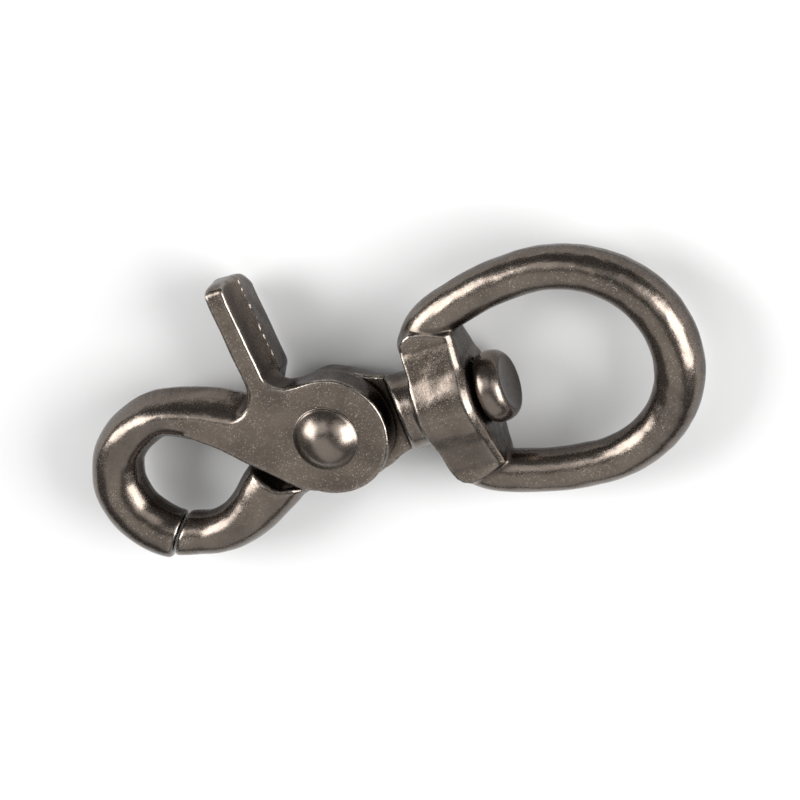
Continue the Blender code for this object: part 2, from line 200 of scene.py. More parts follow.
# ---------------------------------------------------------------- distances

def smooth_path(knots, steps):
    """Catmull-Rom rows through the knots, each a tuple of any length."""
    rows = np.array(knots, float)
    rows = np.vstack([2 * rows[0] - rows[1], rows, 2 * rows[-1] - rows[-2]])
    path = []
    for a, b, c, d in zip(rows, rows[1:], rows[2:], rows[3:]):
        for t in np.arange(steps) / steps:
            path.append(0.5 * (2 * b + (c - a) * t + (2 * a - 5 * b + 4 * c - d) * t ** 2
                               + (3 * b - a - 3 * c + d) * t ** 3))
    path.append(rows[-2])
    return np.array(path)


def arc(centre, radius, start, end, count):
    """Points on an arc, angles in degrees."""
    angles = np.radians(np.linspace(start, end, count))
    return [(centre[0] + radius * math.cos(a), centre[1] + radius * math.sin(a)) for a in angles]


def outline_distance(x, y, outline):
    """Signed distance in the plan to a closed outline, negative inside."""
    points = np.array(outline, float)
    nearest = np.full(np.broadcast(x, y).shape, 1e9)
    inside = np.zeros(nearest.shape, bool)
    for (ax, ay), (bx, by) in zip(points, np.roll(points, -1, axis=0)):
        ex, ey = bx - ax, by - ay
        px, py = x - ax, y - ay
        t = np.clip((px * ex + py * ey) / (ex * ex + ey * ey + 1e-12), 0, 1)
        nearest = np.minimum(nearest, (px - t * ex) ** 2 + (py - t * ey) ** 2)
        if by != ay:
            inside ^= ((ay > y) != (by > y)) & (px < (y - ay) * ex / ey)
    return np.where(inside, -1.0, 1.0) * np.sqrt(nearest)


def path_nearest(x, y, path):
    """In-plane distance to a path, and the path's other columns at the nearest point."""
    nearest = np.full(np.broadcast(x, y).shape, 1e9)
    extra = [np.zeros(nearest.shape) for _ in range(path.shape[1] - 2)]
    for a, b in zip(path, path[1:]):
        ex, ey = b[0] - a[0], b[1] - a[1]
        px, py = x - a[0], y - a[1]
        t = np.clip((px * ex + py * ey) / (ex * ex + ey * ey), 0, 1)
        distance = (px - t * ex) ** 2 + (py - t * ey) ** 2
        closer = distance < nearest
        nearest = np.where(closer, distance, nearest)
        for i, column in enumerate(extra):
            extra[i] = np.where(closer, a[i + 2] + t * (b[i + 2] - a[i + 2]), column)
    return np.sqrt(nearest), extra


def bar(x, y, z, path):
    """A bar along a plan path of rows like HOOK_BAR's."""
    across, (wide, thick, power, draft) = path_nearest(x, y, path)
    rise = np.abs(z) / thick
    level = ((across / (wide * (1 - draft * np.minimum(rise, 1.2)))) ** power + rise ** power) ** (1 / power)
    return (level - 1) * np.minimum(wide, thick)


def extrusion(plan, z, low, high, edge):
    """A plan distance extruded between two heights, its edges rounded."""
    across = plan + edge
    up = np.abs(z - (low + high) / 2) - (high - low) / 2 + edge
    outer = np.sqrt(np.maximum(across, 0) ** 2 + np.maximum(up, 0) ** 2)
    return np.minimum(np.maximum(across, up), 0) + outer - edge


def join(a, b, blend):
    """Union of two solids with a fillet about this wide."""
    share = np.maximum(blend - np.abs(a - b), 0) / blend
    return np.minimum(a, b) - share ** 2 * blend / 4


def meet(a, b, blend):
    """Intersection of two solids, the edge rounded."""
    return -join(-a, -b, blend)


def cut(a, b, blend):
    """The first solid without the second, the edge rounded."""
    return meet(a, -b, blend)


def waviness(x, y, z):
    """Slow ripples such as a casting keeps under its polish."""
    ripple = np.sin(0.9 * x + 1.3 * z + 0.6) * np.sin(1.1 * y - 0.7 * z + 1.9)
    return WAVE_HEIGHT * (ripple + 0.6 * np.sin(1.9 * x - 1.6 * y + 0.8) * np.sin(1.7 * z + 0.4))


# ---------------------------------------------------------------- the castings

def joint_distance(x, y, offset):
    """Distance past the plane where the closed tips meet, towards the hook's tip."""
    normal = (-math.sin(JAW_JOINT_ANGLE), math.cos(JAW_JOINT_ANGLE))
    return (x - JAW_JOINT[0]) * normal[0] + (y - JAW_JOINT[1]) * normal[1] - offset


def spring_space(x, y, z, slot_angle, sweep, low, high):
    """Pocket for the coil, with a slot that one leg can sweep through, and the rivet's hole."""
    reach = np.hypot(x, y)
    first, last = math.radians(slot_angle - sweep), math.radians(slot_angle)
    middle = (first + last) / 2
    before = x * math.sin(first) - y * math.cos(first)
    after = y * math.cos(last) - x * math.sin(last)
    slot = np.maximum(np.maximum(before, after) - LEG_SLOT_HALF, reach - LEG_SLOT_END)
    slot = np.maximum(slot, -x * math.cos(middle) - y * math.sin(middle))
    pocket = extrusion(np.minimum(reach - POCKET_RADIUS, slot), z, low, high, 0.05)
    return np.minimum(pocket, reach - RIVET_SHANK - TOUCH_GAP)


def plate_outline():
    """Plan of the trigger jaw's plate: disc, root of the lever, ledge and throat edge."""
    disc = arc(DISC_CENTRE, DISC_RADIUS, -128, 84, 40)
    root = smooth_path([(0.2, 7.55), (-1.0, 7.5), (-2.2, 7.55), (-3.0, 7.85), (-3.5, 8.5), (-3.6, 9.5)], 6)
    lever = [(-3.62, 10.5), (-4.2, LEVER_TOP), (-4.2, LEVER_TOP + 2), (-7.95, LEVER_TOP + 2), (-7.4, 12.0)]
    ledge = smooth_path([(-7.3, 10.5), (-7.35, 9.3), (-7.6, 8.0), (-8.3, 6.8), (-9.3, 5.9), (-10.4, 5.3),
                         (-11.6, 4.9), (-13.4, 4.9), (-15.4, 5.6)], 6)
    throat = smooth_path([(-17.6, 5.3), (-16.0, 4.0), (-13.8, 2.3), (-11.6, 0.1),
                          (-9.0, -2.3), (-6.2, -4.9), (-4.9, -5.8)], 4)
    return disc[1:] + [tuple(p) for p in root] + lever + [tuple(p) for p in np.vstack([ledge, throat])]


def ramp(value, low, high):
    """0 below low, 1 above high, smooth between."""
    t = np.clip((value - low) / (high - low), 0, 1)
    return t * t * (3 - 2 * t)


def thumb_face(x, y, z):
    """How far the lever's thumb side leans back.

    It is hollow in front of its parting line and nearly upright behind.
    """
    front = np.maximum(z, 0) * THUMB_DRAFT + THUMB_HOLLOW * np.sin(np.pi * np.clip(z / HALF_THICK, 0, 1))
    return ramp(y, *THUMB_RISE) * ramp(x, *THUMB_SIDE) * np.maximum(front, -z * REAR_DRAFT)


def round_corner(aside, end, radius):
    """An end face and a side joined by a round corner; both distances are from the round's centre."""
    outside = np.hypot(np.maximum(aside, 0), np.maximum(end, 0))
    return outside + np.minimum(np.maximum(aside, end), 0) - radius


def lever_end(x, y, z):
    """Crowned end of the lever, round both across it and through it."""
    crown = np.where(z > 0, LEVER_CROWN_FRONT, LEVER_CROWN_REAR)
    past_end = y - LEVER_TOP - LEVER_TILT * z
    through = round_corner(np.abs(z) - HALF_THICK + crown, past_end + crown, crown)
    beside = np.abs(x - LEVER_MIDDLE) - LEVER_HALF
    across = round_corner(beside + LEVER_ROUND, y - LEVER_TOP + LEVER_ROUND, LEVER_ROUND)
    fade = CROWN_FADE * ramp(LEVER_TOP - y, *CROWN_FADE_SPAN)
    return np.minimum(meet(through, across, 0.5) - fade, y - LEVER_TOP + LEVER_END_DEPTH)


def trigger_jaw(x, y, z):
    """Front half of the lap, with the lever and the hook."""
    plan = outline_distance(x, y, PLATE_OUTLINE) + thumb_face(x, y, z)
    off_ledge = np.hypot(x - LEDGE_MIDDLE[0], y - LEDGE_MIDDLE[1])
    edge = EDGE_ROUND + LEDGE_ROUND * ramp(-off_ledge, -LEDGE_FAR, -LEDGE_NEAR)
    solid = extrusion(plan, z, -HALF_THICK, HALF_THICK, edge)
    solid = meet(solid, lever_end(x, y, z), 0.35)
    beyond = np.maximum(joint_distance(x, y, TOUCH_GAP / 2), y + 2)
    hook = cut(bar(x, y, z, HOOK_PATH), beyond, 0.6)
    solid = meet(join(solid, hook, 0.6), np.abs(z) - HALF_THICK, 0.06)
    solid = solid + waviness(x, y, z)
    rear = np.minimum(np.hypot(x, y) - REAR_CLEARANCE, outline_distance(x, y, REAR_ROOM))
    solid = cut(solid, np.maximum(rear, z - LAP_GAP), 0.5)
    return cut(solid, spring_space(x, y, z, TRIGGER_LEG_ANGLE, 0, -1, POCKET_DEPTH), 0.2)


def fixed_outline():
    """Plan of the fixed jaw's rear disc, shoulders and arm root."""
    disc = arc(REAR_DISC_CENTRE, REAR_DISC_RADIUS, 66, 172, 26)
    root = [(-9.4, -0.6), (-12.2, -2.0), (-13.2, -4.0), (-10.4, -7.0), (-6.0, -7.2)]
    below = arc(REAR_DISC_CENTRE, REAR_DISC_RADIUS, -112, -66, 12)
    lower = [(5.3, SWIVEL_Y - 6.3), (6.9, SWIVEL_Y - 5.5), (TAPER_X, SWIVEL_Y - 4.9), (10.0, SWIVEL_Y - 4.4)]
    upper = [(x, 2 * SWIVEL_Y - y) for x, y in reversed(lower)]
    return disc + root + below + lower + upper


def fixed_jaw(x, y, z):
    """Rear half of the lap, with the neck and the arm."""
    off_axis = np.hypot(y - SWIVEL_Y, z)
    body = extrusion(outline_distance(x, y, FIXED_OUTLINE), z, -HALF_THICK, HALF_THICK, EDGE_ROUND)
    taper = off_axis - NECK_RADIUS - np.maximum(TAPER_X - x, -TAPER_PAST) * TAPER_SLOPE
    body = meet(body, taper * TAPER_FACTOR, 0.8)
    neck_length = np.abs(x - (NECK_END + NECK_START) / 2) - (NECK_END - NECK_START) / 2
    body = join(body, meet(off_axis - NECK_RADIUS, neck_length, 0.7), 1.2)
    before_shoulder = (x - SHOULDER_X - SHOULDER_DRAFT * z) * SHOULDER_FACTOR
    solid = cut(body, np.maximum(before_shoulder, -LAP_GAP - z), 0.5)
    arm = meet(bar(x, y, z, ARM_PATH), joint_distance(x, y, -TOUCH_GAP / 2), 0.45)
    arm = cut(arm, np.maximum(outline_distance(x, y, ARM_ROOM), -LAP_GAP - z), 0.9)
    solid = join(solid, arm, 0.5) + waviness(x, y, z)
    solid = cut(solid, spring_space(x, y, z, FIXED_LEG_ANGLE, LEG_SWEEP, -POCKET_DEPTH, 1), 0.2)
    bore = np.maximum(off_axis - PIN_SHANK - TOUCH_GAP, PIN_START - TOUCH_GAP - x)
    return cut(solid, bore, 0.3)


def eye_path():
    """Centre line of the eye's bar from the upper root to the bow, for one half."""
    side = [(14.65, 7.9), (16.15, 9.55), (18.3, 10.75), (21.4, 11.7), (25.6, 12.65),
            (EYE_WIDEST_X, EYE_SIDE)]
    rows = [(x, y, EYE_SIDE_RADIUS, EYE_SIDE_RADIUS, 2.0, 0.0) for x, y in smooth_path(side, 6)]
    for angle in np.radians(np.arange(2, 91, 2)):
        fat = EYE_SIDE_RADIUS + (EYE_BOW_RADIUS - EYE_SIDE_RADIUS) * math.sin(angle) ** 2
        rows.append((EYE_WIDEST_X + (EYE_BOW_X - EYE_WIDEST_X) * math.sin(angle) ** (2 / EYE_BOW_SHAPE),
                     EYE_SIDE * max(math.cos(angle), 0.0) ** (2 / EYE_BOW_SHAPE), fat, fat, 2.0, 0.0))
    return np.array(rows)


def swivel_eye(x, y, z):
    """Collar with its boss and wings, and the bow; both halves are alike."""
    level = y - SWIVEL_Y
    across = level * math.cos(EYE_TURN) + z * math.sin(EYE_TURN)
    height = z * math.cos(EYE_TURN) - level * math.sin(EYE_TURN)
    side = np.abs(across)
    ring = bar(x, side, height, EYE_PATH)
    along = np.abs(x - (COLLAR_START + COLLAR_END) / 2) - (COLLAR_END - COLLAR_START) / 2
    past_edge = x - COLLAR_END + COLLAR_CHAMFER
    reach = np.hypot(across, height)
    boss = meet(reach - BOSS_RADIUS, along, 0.4)
    boss = meet(boss, (reach - BOSS_RADIUS + past_edge) * CHAMFER_FACTOR, 0.25)
    plan = meet(outline_distance(x, side, WING_OUTLINE), along, 0.4)
    facet = np.abs(height) - FACET_HEIGHT
    wing = meet(meet(plan, facet, 0.5), (facet + past_edge) * CHAMFER_FACTOR, 0.25)
    slope = (np.abs(height) - FACET_HEIGHT - WEB_STEP - (WING_STEP - side) * WEB_SLOPE) * WEB_FACTOR
    web = meet(meet(plan, slope, 0.3), (slope + past_edge) * CHAMFER_FACTOR, 0.25)
    foot = (np.abs(height) - FACET_HEIGHT - (WING_STEP + FOOT_REACH - side) * FOOT_SLOPE) * FOOT_FACTOR
    web = meet(web, foot, 0.12)
    collar = join(join(boss, web, 0.5), wing, 0.15)
    solid = join(collar, ring, 0.6) + waviness(x, side, height)
    bore = np.maximum(reach - PIN_SHANK - TOUCH_GAP, x - COLLAR_END - 2)
    return cut(solid, bore, 0.4)


PLATE_OUTLINE = plate_outline()
FIXED_OUTLINE = fixed_outline()
HOOK_PATH = smooth_path(HOOK_BAR, 6)
ARM_PATH = smooth_path(ARM_BAR, 6)
EYE_PATH = eye_path()
WING_OUTLINE = [(COLLAR_START, 0.0), (COLLAR_START - 0.1, 5.0), (COLLAR_START - 0.2, 8.0), (13.1, 9.2),
                (13.8, 10.0), (14.8, 10.4), (COLLAR_END - 0.2, 8.9), (COLLAR_END, 8.2), (COLLAR_END, 0.0)]
REAR_ROOM = [(-5.0, 6.7), (-4.2, 8.0), (-3.6, 8.9), (-2.8, 9.6), (14.0, 9.6), (14.0, -12.0), (-14.6, -12.0),
             (-14.6, -1.3), (-8.2, 1.1), (0.0, 0.0)]
ARM_ROOM = [(0.0, 12.0), (-14.0, 12.0), (-14.0, 0.2), (-11.9, -1.2), (-11.0, -1.9), (-10.2, -3.2),
            (-9.3, -4.4), (-8.4, -5.0), (-7.0, -5.35), (-5.4, -6.2), (-4.6, -9.5), (0.0, -10.0)]


# ---------------------------------------------------------------- surface net

def surface_net(solid, low, high, step):
    """Vertices and quads on the zero level of a solid, one vertex in each cell it crosses."""
    axes = [np.arange(a - MARGIN, b + MARGIN + step, step) for a, b in zip(low, high)]
    field = solid(axes[0][:, None, None], axes[1][None, :, None], axes[2][None, None, :])
    size = np.array(field.shape) - 1
    corners = list(itertools.product((0, 1), repeat=3))
    inside = field < 0
    count = sum(inside[i:i + size[0], j:j + size[1], k:k + size[2]].astype(np.int8) for i, j, k in corners)
    crossed = (count > 0) & (count < 8)
    cells = np.argwhere(crossed)
    number = np.full(crossed.shape, -1)
    number[crossed] = np.arange(len(cells))
    values = {c: field[tuple((cells + c).T)] for c in corners}
    total = np.zeros((len(cells), 3))
    hits = np.zeros(len(cells))
    for a, b in itertools.combinations(corners, 2):
        if sum(abs(p - q) for p, q in zip(a, b)) == 1:
            edge = (values[a] < 0) != (values[b] < 0)
            share = values[a][edge] / (values[a][edge] - values[b][edge])
            total[edge] += np.array(a) + share[:, None] * (np.array(b) - np.array(a))
            hits[edge] += 1
    vertices = np.array([axis[0] for axis in axes]) + (cells + total / hits[:, None]) * step
    quads = []
    for axis in range(3):
        u, v = (axis + 1) % 3, (axis + 2) % 3
        first = np.take(inside, np.arange(size[axis]), axis=axis)
        second = np.take(inside, np.arange(1, size[axis] + 1), axis=axis)
        edges = np.argwhere(first != second)
        edges = edges[(edges[:, u] > 0) & (edges[:, v] > 0)]
        enters = first[tuple(edges.T)]
        ring = []
        for du, dv in ((-1, -1), (0, -1), (0, 0), (-1, 0)):
            cell = edges.copy()
            cell[:, u] += du
            cell[:, v] += dv
            ring.append(number[tuple(cell.T)])
        ring = np.stack(ring, axis=1)
        ring[~enters] = ring[~enters][:, ::-1]
        quads.append(ring)
    return vertices, np.vstack(quads)


def settle(solid, points):
    """Move points onto the solid's surface along its slope."""
    for _ in range(3):
        level = solid(*points.T)
        rises = [solid(*(points + SETTLE_STEP * e).T) - level for e in np.eye(3)]
        slope = np.stack(rises, axis=1) / SETTLE_STEP
        move = level[:, None] * slope / (np.sum(slope ** 2, axis=1, keepdims=True) + SETTLE_DAMPING)
        points = points - np.clip(move, -NET_STEP / 2, NET_STEP / 2)
    return points


def bend(solid, points, reach):
    """How far the surface curves away (positive) or towards a recess (negative), within reach."""
    around = sum(solid(*(points + reach * sign * e).T) for e in np.eye(3) for sign in (-1, 1))
    return (around - 6 * solid(*points.T)) / reach


def add_mesh(name, vertices, faces):
    """A smooth object from points in millimetres about the rivet."""
    mesh = bpy.data.meshes.new(name)
    mesh.from_pydata((np.asarray(vertices) * MM + RIVET).tolist(), [], faces)
    mesh.shade_smooth()
    obj = bpy.data.objects.new(name, mesh)
    bpy.context.scene.collection.objects.link(obj)
    return obj


def jaw_height(points):
    """Height over the jaws' middle plane."""
    return points[:, 2]


def eye_height(points):
    """Height over the eye's own middle plane, which lies turned about the swivel axis."""
    return points[:, 2] * math.cos(EYE_TURN) - (points[:, 1] - SWIVEL_Y) * math.sin(EYE_TURN)


def casting(name, solid, node, height):
    """Mesh one casting inside its CAD node's box, with masks for its edges, recesses and seam."""
    low, high = (np.array(corner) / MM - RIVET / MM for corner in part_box(node))
    vertices, quads = surface_net(solid, low, high, NET_STEP)
    vertices = settle(solid, vertices)
    obj = add_mesh(name, vertices, quads.tolist())
    level = solid(*vertices.T)
    rise = (solid(*(vertices + (0, 0, SLOPE_STEP)).T) - level) / SLOPE_STEP
    # the first mask marks convex edges, for worn plating and painted sheen; the recess mask marks painted
    # shade
    masks = {"wear_and_sheen": np.clip(bend(solid, vertices, WEAR_AND_SHEEN_REACH) * WEAR_AND_SHEEN_GAIN, 0, 1),
             "recess": np.clip(-bend(solid, vertices, RECESS_REACH) * RECESS_GAIN, 0, 1),
             "facing": np.clip(np.abs(rise), 0, 1),
             "seam": height(vertices)}
    for mask, values in masks.items():
        layer = obj.data.attributes.new(mask, "FLOAT", "POINT")
        layer.data.foreach_set("value", values.astype(np.float32))
    return obj


# ---------------------------------------------------------------- turned pieces and the spring

def turned(name, profile, axis, offset_y=0.0, sides=128):
    """A turned piece from (radius, along) pairs, smooth along the profile."""
    rings = []
    for radius, along in profile:
        angles = np.arange(sides) * 2 * math.pi / sides
        a, b = radius * np.cos(angles), radius * np.sin(angles)
        rings.append(np.stack([a, b, np.full(sides, along)], axis=1))
    points = np.vstack(rings)
    if axis == "X":
        points = points[:, [2, 0, 1]] + (0.0, offset_y, 0.0)
    faces = []
    for ring in range(len(profile) - 1):
        for i in range(sides):
            j = (i + 1) % sides
            faces.append((ring * sides + i, (ring + 1) * sides + i, (ring + 1) * sides + j, ring * sides + j))
    last = (len(profile) - 1) * sides
    faces.append(tuple(range(sides)))
    faces.append(tuple(reversed(range(last, last + sides))))
    obj = add_mesh(name, points, faces)
    radii, along = np.array(profile).T
    slope = np.abs(np.gradient(radii)) / (np.hypot(np.gradient(radii), np.gradient(along)) + 1e-9)
    flatness = np.repeat(np.clip((slope - END_SLOPE) / END_FADE, 0, 1), sides)
    end = obj.data.attributes.new("end", "FLOAT", "POINT")
    end.data.foreach_set("value", flatness.astype(np.float32))
    return obj


def rivet_profile():
    """Domed heads that flare a little onto the jaws, and a plain shank."""
    base = HALF_THICK + RIVET_SEAT
    sphere = (RIVET_RIM ** 2 + RIVET_DOME ** 2) / (2 * RIVET_DOME)
    head = []
    for share in np.linspace(0.02, 0.93, 22):
        angle = math.asin(RIVET_RIM / sphere) * share
        head.append((sphere * math.sin(angle), base + RIVET_DOME - sphere * (1 - math.cos(angle))))
    skirt = smooth_path([head[-1], (3.93, base + 0.12), (4.0, base + 0.03), (4.1, base)], 3)
    head += [tuple(p) for p in skirt[1:]] + [(RIVET_SHANK, base)]
    return head + [(r, -h) for r, h in reversed(head)]


def pin_profile():
    """Barrel-sided head with a slightly sunk face, and a plain shank."""
    start = COLLAR_END + TOUCH_GAP
    side = smooth_path([(3.7, 0.0), (4.1, 0.2), (4.35, 0.75), (4.42, 1.5), (4.3, 2.2), (4.05, 2.75),
                        (3.7, 3.12), (3.35, 3.25), (3.0, 3.2), (2.2, 3.08), (1.0, 3.0), (0.1, 3.0)], 4)
    head = [(r, start + x) for r, x in side]
    return [(0.1, PIN_START), (PIN_SHANK, PIN_START), (PIN_SHANK, start)] + head


def make_spring():
    """Coil round the rivet with a leg into each jaw's slot."""
    count = int(SPRING_TURNS * SPRING_STEPS) + 1
    angles = math.radians(FIXED_LEG_ANGLE) + np.arange(count) * 2 * math.pi / SPRING_STEPS
    heights = np.linspace(-0.5, 0.5, count) * SPRING_PITCH * SPRING_TURNS
    coil = np.stack([SPRING_RADIUS * np.cos(angles), SPRING_RADIUS * np.sin(angles), heights], axis=1)
    out = 1 + SPRING_LEG / SPRING_RADIUS
    stretch = np.array([out, out, 1.0])
    points = np.vstack([coil[0] * stretch, coil, coil[-1] * stretch])
    curve = bpy.data.curves.new("coil_spring", "CURVE")
    curve.dimensions = "3D"
    curve.bevel_depth = WIRE_RADIUS * MM
    curve.bevel_resolution = 5
    curve.use_fill_caps = True
    spline = curve.splines.new("POLY")
    spline.points.add(len(points) - 1)
    for point, place in zip(spline.points, points * MM + RIVET):
        point.co = (*place, 1.0)
    obj = bpy.data.objects.new("coil_spring", curve)
    bpy.context.scene.collection.objects.link(obj)
    return obj


# ---------------------------------------------------------------- materials

# Painted light and shade: the flats' tones are a lit copy of the nickel, the sides' and walls' tones a shaded
# copy.
CAST_FLAT_LIT = (0.160, 0.131, 0.106, 1)
CAST_FLAT_LIT_DARK = (0.108, 0.088, 0.074, 1)
CAST_SIDE_SHADED = (0.146, 0.120, 0.101, 1)
CAST_SIDE_SHADED_DARK = (0.098, 0.080, 0.068, 1)
CAST_WALL_SHADE = (0.064, 0.051, 0.044, 1)
# painted shade for the recesses
CAST_RECESS_SHADE = (0.030, 0.025, 0.022, 1)
# bright nickel: for grain flecks, and for edges that are partly worn plating and partly painted sheen
CAST_BRIGHT = (0.42, 0.38, 0.34, 1)
# painted glints
PAINTED_GLINT = (0.74, 0.66, 0.57, 1)
POLISHED = (0.200, 0.168, 0.145, 1)
POLISHED_DARK = (0.140, 0.117, 0.100, 1)
# painted shade on the pin's flat face
PIN_FACE_SHADE = (0.058, 0.048, 0.042, 1)
WIRE_BRIGHT = (0.42, 0.41, 0.40, 1)
WIRE_DARK = (0.25, 0.24, 0.235, 1)
FLOOR_TONE = (0.65, 0.65, 0.65, 1)
FLOOR_TONE_DARK = (0.62, 0.62, 0.62, 1)


class Shader:
    """A short way to wire a Principled material."""

    def __init__(self, name):
        self.material = bpy.data.materials.new(name)
        self.material.use_nodes = True
        self.tree = self.material.node_tree
        self.surface = self.tree.nodes["Principled BSDF"]
        self.place = self.node("ShaderNodeTexCoord").outputs["Object"]

    def node(self, kind, inputs=None, **settings):
        """Add a node; each input is a value, or a socket to link."""
        made = self.tree.nodes.new(kind)
        for key, value in settings.items():
            setattr(made, key, value)
        for key, value in (inputs or {}).items():
            if isinstance(value, bpy.types.NodeSocket):
                self.tree.links.new(value, made.inputs[key])
            else:
                made.inputs[key].default_value = value
        return made

    def noise(self, scale, detail=2.0, roughness=0.5):
        """Noise over the piece, so many waves to the metre."""
        return self.node("ShaderNodeTexNoise", {"Vector": self.place, "Scale": scale, "Detail": detail,
                                                "Roughness": roughness}).outputs["Fac"]

    def span(self, value, low, high, to_low=0.0, to_high=1.0):
        """Map low..high on to to_low..to_high, clamped."""
        made = self.node("ShaderNodeMapRange", {"Value": value, "From Min": low, "From Max": high,
                                                "To Min": to_low, "To Max": to_high})
        return made.outputs["Result"]

    def math(self, operation, a, b):
        return self.node("ShaderNodeMath", {0: a, 1: b}, operation=operation).outputs[0]

    def mix(self, factor, a, b):
        made = self.node("ShaderNodeMix", data_type="RGBA")
        for socket, value in zip((made.inputs[0], made.inputs[6], made.inputs[7]), (factor, a, b)):
            if isinstance(value, bpy.types.NodeSocket):
                self.tree.links.new(value, socket)
            else:
                socket.default_value = value
        return made.outputs[2]

    def stretched(self, scale):
        """The place with its own scale on each axis."""
        made = self.node("ShaderNodeMapping", {"Vector": self.place})
        made.inputs["Scale"].default_value = scale
        return made.outputs["Vector"]

    def bump(self, height, strength, distance, normal=None):
        inputs = {"Height": height, "Strength": strength, "Distance": distance}
        if normal is not None:
            inputs["Normal"] = normal
        return self.node("ShaderNodeBump", inputs).outputs["Normal"]

    def attribute(self, name):
        return self.node("ShaderNodeAttribute", attribute_name=name).outputs["Fac"]

    def drive(self, socket, value):
        """Link a value to one of the surface's inputs."""
        self.tree.links.new(value, self.surface.inputs[socket])


def cast_tone_and_shade(shader, flat, facing):
    """Cloudy tone, with painted light and shade: the flats painted lighter and warmer, the walls painted
    darker.
    """
    cloud = shader.span(shader.noise(190.0, 3.0), 0.38, 0.66)
    # painted shade: the sides take the darker, shaded copy of the tone
    side = shader.mix(cloud, CAST_SIDE_SHADED, CAST_SIDE_SHADED_DARK)
    # painted shade: walls that turn away from the flats darken further
    side = shader.mix(shader.span(facing, 0.55, 0.15), side, CAST_WALL_SHADE)
    # painted light: the flats take the lighter, warmer copy
    return shader.mix(flat, side, shader.mix(cloud, CAST_FLAT_LIT, CAST_FLAT_LIT_DARK))


def cast_painted_glints(shader, flat):
    """Painted glints: single bright grains, in patches and mostly on the flats."""
    grains = shader.node("ShaderNodeTexVoronoi", {"Vector": shader.place, "Scale": 5200.0})
    chance = shader.node("ShaderNodeSeparateColor", {0: grains.outputs["Color"]}).outputs[0]
    patches = shader.span(shader.noise(420.0, 2.0), 0.35, 0.6, 0.3, 1.0)
    lit = shader.math("MULTIPLY", shader.span(chance, 0.5, 0.95), patches)
    sparkle = shader.math("MULTIPLY", shader.span(grains.outputs["Distance"], 0.45, 0.15), lit)
    return shader.math("MULTIPLY", sparkle, shader.span(flat, 0, 1, 0.1, 0.8))


def cast_relief(shader, flat, fine, broken):
    """Bumps: slow waves, polish streaks on the sides, pits, a broken parting seam and grain."""
    height = shader.node("ShaderNodeMath", {0: shader.attribute("seam")}, operation="ABSOLUTE").outputs[0]
    seam = shader.math("MULTIPLY", shader.span(height, 0.3, 0.08), shader.span(flat, 0.0, 0.2, 1.0, 0.0))
    streaks = shader.node("ShaderNodeTexNoise", {"Vector": shader.stretched((500.0, 500.0, 2600.0)),
                                                 "Scale": 1.0, "Detail": 2.0}).outputs["Fac"]
    pits = shader.node("ShaderNodeTexVoronoi", {"Vector": shader.place, "Scale": 1100.0}).outputs["Distance"]
    normal = shader.bump(shader.noise(520.0, 2.0), 0.3, 0.0002)
    normal = shader.bump(streaks, shader.span(flat, 0, 1, 0.22, 0.0), 0.00008, normal)
    normal = shader.bump(shader.span(pits, 0.0, 0.16), 0.2, 0.00003, normal)
    normal = shader.bump(shader.math("MULTIPLY", seam, broken), 0.8, 0.00008, normal)
    return shader.bump(fine, shader.span(flat, 0, 1, 0.25, 0.5), 0.00003, normal)


def cast_nickel():
    """Dark nickel over a casting: bright edges, partly worn plating and partly painted sheen, recesses
    painted dark as shade and made rougher, and painted glints.
    """
    shader = Shader("cast_dark_nickel")
    facing = shader.attribute("facing")
    recess = shader.attribute("recess")
    flat = shader.span(facing, 0.90, 0.99)
    fine = shader.noise(6500.0, 2.0, 0.6)
    broken = shader.span(shader.noise(1600.0, 2.0), 0.42, 0.6)
    # cloudy tone, with painted light on the flats and painted shade on the walls
    colour = cast_tone_and_shade(shader, flat, facing)
    colour = shader.mix(shader.span(fine, 0.58, 0.75, 0.0, 0.35), colour, CAST_BRIGHT)
    # painted glints, mostly on the flats
    colour = shader.mix(cast_painted_glints(shader, flat), colour, PAINTED_GLINT)
    # painted shade: the recesses darken
    colour = shader.mix(shader.math("MULTIPLY", recess, 0.6), colour, CAST_RECESS_SHADE)
    # bright edges: partly worn plating, partly painted sheen
    rubbed_and_sheen = shader.math("MULTIPLY", shader.attribute("wear_and_sheen"), shader.span(broken, 0.0, 1.0, 0.25, 0.6))
    shader.drive("Base Color", shader.mix(rubbed_and_sheen, colour, CAST_BRIGHT))
    gloss = shader.span(fine, 0.3, 0.7, 0.17, 0.31)
    shader.drive("Roughness", shader.math("ADD", gloss, shader.math("MULTIPLY", recess, 0.2)))
    shader.surface.inputs["Metallic"].default_value = 1.0
    shader.drive("Normal", cast_relief(shader, flat, fine, broken))
    return shader.material


def polished_nickel(name, end_colour):
    """Smoother nickel on the rivet and the pin: faint haze and grain, and a colour for a flat end, which on
    the pin's face is painted shade.
    """
    shader = Shader(name)
    fine = shader.noise(5200.0, 2.0, 0.6)
    haze = shader.noise(420.0, 3.0)
    colour = shader.mix(shader.span(haze, 0.3, 0.7), POLISHED, POLISHED_DARK)
    # flat ends take the end colour: painted shade on the pin's face
    colour = shader.mix(shader.attribute("end"), colour, end_colour)
    colour = shader.mix(shader.span(fine, 0.62, 0.74, 0.0, 0.4), colour, CAST_BRIGHT)
    shader.drive("Base Color", colour)
    shader.drive("Roughness", shader.span(fine, 0.3, 0.7, 0.2, 0.34))
    shader.surface.inputs["Metallic"].default_value = 1.0
    normal = shader.bump(haze, 0.15, 0.0001)
    shader.drive("Normal", shader.bump(fine, 0.2, 0.00002, normal))
    return shader.material


